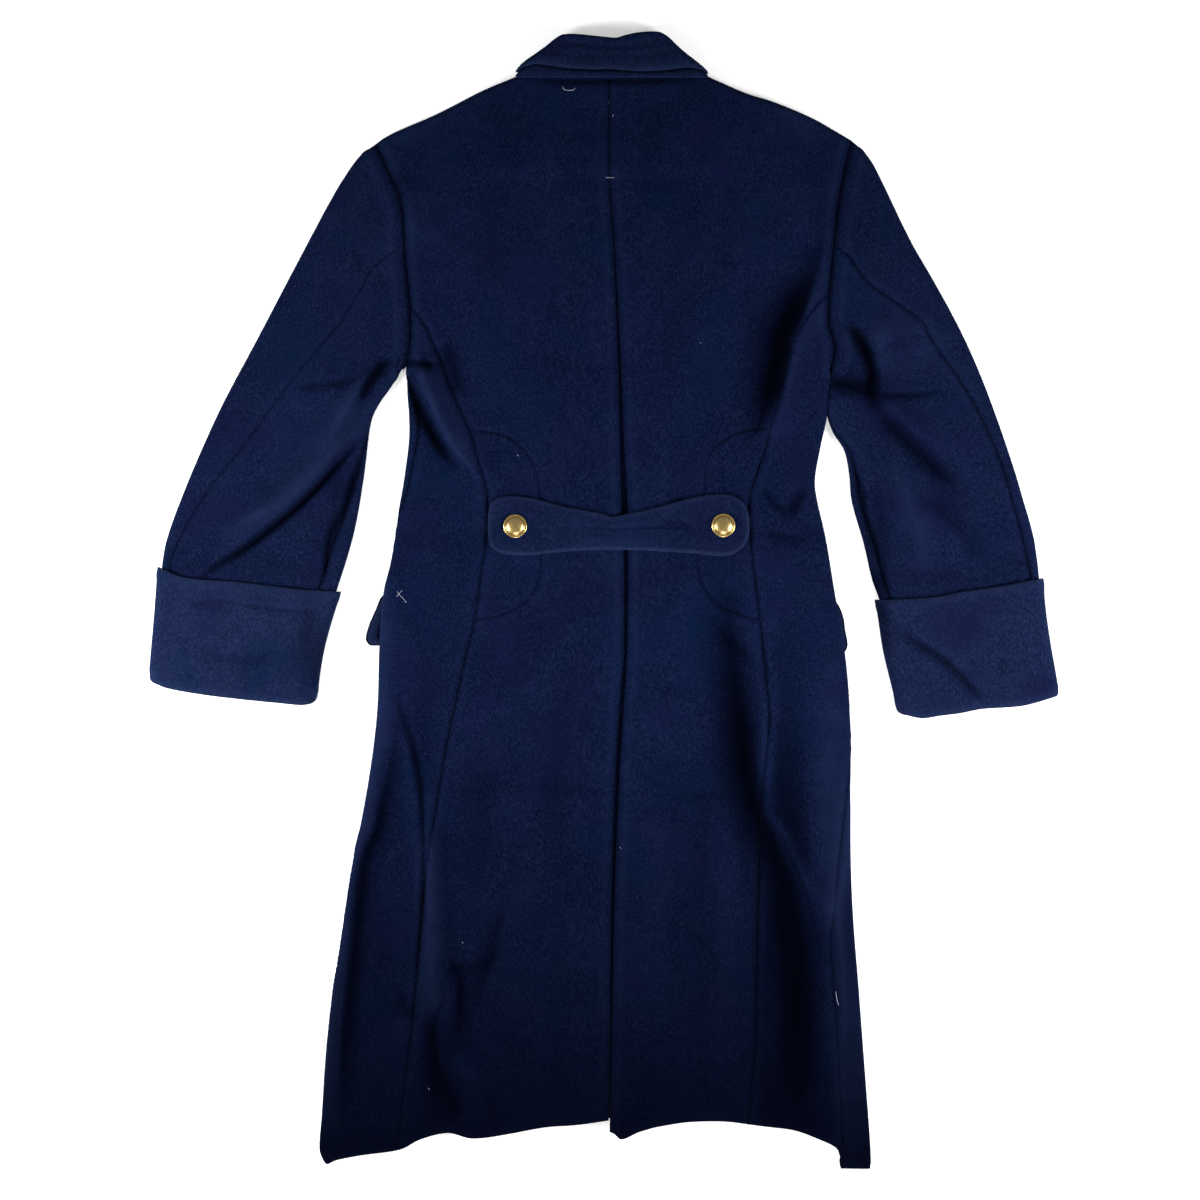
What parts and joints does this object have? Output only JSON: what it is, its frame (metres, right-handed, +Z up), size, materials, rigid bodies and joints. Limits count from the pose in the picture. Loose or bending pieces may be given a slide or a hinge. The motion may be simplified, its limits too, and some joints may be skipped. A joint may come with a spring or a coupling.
{
  "type": "greatcoat",
  "caption": "Full-length heavy wool greatcoat laid flat face down, with turned-down collar, half belt, half-moon insets, deep back pleat and turn-back cuffs.",
  "frame": {"origin": "on the surface the coat lies on, under the middle of its bounding box", "axes": "+Y from hem to collar, +X towards the wearer's right sleeve as it lies face down, +Z up out of the coat's back"},
  "size_m": [0.9726, 1.2117, 0.0232],
  "materials": {
    "navy wool": "felted nap, matt with a soft sheen",
    "brass": "worn gilt, domed and smooth"
  },
  "bodies": {
    "root": {"back_left": "navy wool", "back_right": "navy wool", "collar_fall": "navy wool", "collar_stand": "navy wool", "cuff_left": "navy wool", "cuff_right": "navy wool", "front_left": "navy wool", "front_right": "navy wool", "half_belt": "navy wool", "half_moon_left": "navy wool", "half_moon_right": "navy wool", "pleat_underlay": "navy wool", "pocket_flap_left": "navy wool", "pocket_flap_right": "navy wool", "side_back_left": "navy wool", "side_back_right": "navy wool", "under_sleeve_left": "navy wool", "under_sleeve_right": "navy wool", "upper_sleeve_left": "navy wool", "upper_sleeve_right": "navy wool", "belt_button_left": "brass", "belt_button_right": "brass"}
  },
  "joints": []
}
